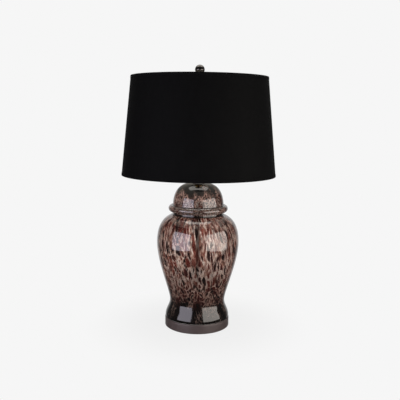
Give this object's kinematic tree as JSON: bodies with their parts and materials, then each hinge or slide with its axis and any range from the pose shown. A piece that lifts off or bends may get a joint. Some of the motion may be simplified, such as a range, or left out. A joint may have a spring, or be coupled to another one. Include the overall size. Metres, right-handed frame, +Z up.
{
  "type": "table lamp",
  "caption": "Table lamp with a glass temple jar and domed lid on a round metal plinth, and a tapered drum shade held by a harp and a ball finial.",
  "frame": {"origin": "middle of the felt's underside, where the lamp stands on the table", "axes": "+Z up along the lamp's rod, +X along the harp's plane, -Y the side of the switch knob and the picture's view, +Y the side of the cord inlet"},
  "size_m": [0.4319, 0.432, 0.7392],
  "materials": {
    "felt": "pressed felt",
    "cover_steel": "matt black",
    "zinc_steel": "zinc plated",
    "cast_iron": "as cast",
    "bronze_paint": "satin dark bronze",
    "black_metal": "satin black",
    "rod_steel": "plated steel pipe",
    "clear_gasket": "translucent",
    "tortoise_glass": "clear casing over a brown tortoise pattern",
    "harp_metal": "nickel plated",
    "socket_brass": "bright",
    "liner_board": "plain",
    "phenolic": "moulded",
    "bulb_metal": "rolled",
    "bulb_white": "moulded",
    "bulb_opal": "opal",
    "black_cloth": "plain weave",
    "black_tape": "rolled cloth edge",
    "white_lining": "smooth film",
    "frame_wire": "plated wire",
    "black_nickel": "polished black nickel"
  },
  "bodies": {
    "stand": {"felt_pad": "felt", "bottom_cover": "cover_steel", "cover_screws": "zinc_steel", "ballast_disc": "cast_iron", "plinth_shell": "bronze_paint", "cord_bushing": "black_metal", "bushing_nut": "zinc_steel", "rod_bottom_washer": "zinc_steel", "rod_bottom_nut": "zinc_steel", "rod": "rod_steel", "jar_gasket": "clear_gasket", "jar_body": "tortoise_glass", "lid_gasket": "clear_gasket", "jar_lid": "tortoise_glass", "cap_gasket": "clear_gasket", "lid_cap": "black_metal", "lid_cap_nut": "zinc_steel", "neck_tube": "black_metal", "harp_saddle": "harp_metal", "saddle_washer": "zinc_steel", "harp_wire": "harp_metal", "harp_stud": "harp_metal", "socket_cap": "socket_brass", "socket_shell": "socket_brass", "socket_liner": "liner_board", "socket_body": "phenolic", "screw_shell": "socket_brass", "centre_contact": "socket_brass", "terminal_screws": "socket_brass"},
    "shade": {"shade_fabric": "black_cloth", "shade_lining": "white_lining", "shade_top_ring": "frame_wire", "shade_bottom_ring": "frame_wire", "shade_spider": "frame_wire", "shade_trim_top": "black_tape", "shade_trim_bottom": "black_tape"},
    "finial": {"finial_base": "black_nickel", "finial_ball": "black_nickel"},
    "bulb": {"bulb_contact": "bulb_metal", "bulb_insulator": "phenolic", "bulb_cap": "bulb_metal", "bulb_collar": "bulb_white", "bulb_globe": "bulb_opal"},
    "switch": {"switch_stem": "socket_brass", "switch_knob": "phenolic"},
    "ferrule_left": {"ferrule_left": "harp_metal"},
    "ferrule_right": {"ferrule_right": "harp_metal"}
  },
  "joints": [
    {"name": "shade_turn", "type": "hinge", "parent": "stand", "child": "shade", "pos_m": [0, 0, 0.698], "axis": [0, 0, 1], "continuous": true},
    {"name": "finial_turn", "type": "hinge", "parent": "stand", "child": "finial", "pos_m": [0, 0, 0.705], "axis": [0, 0, 1], "continuous": true},
    {"name": "bulb_turn", "type": "hinge", "parent": "stand", "child": "bulb", "pos_m": [0, 0, 0.48], "axis": [0, 0, 1], "continuous": true},
    {"name": "switch_turn", "type": "hinge", "parent": "stand", "child": "switch", "pos_m": [0, -0.025, 0.4613], "axis": [0, -1, 0], "continuous": true},
    {"name": "ferrule_left_slide", "type": "slide", "parent": "stand", "child": "ferrule_left", "axis": [0, 0, 1], "range_m": [0, 0.015]},
    {"name": "ferrule_right_slide", "type": "slide", "parent": "stand", "child": "ferrule_right", "axis": [0, 0, 1], "range_m": [0, 0.015]}
  ]
}
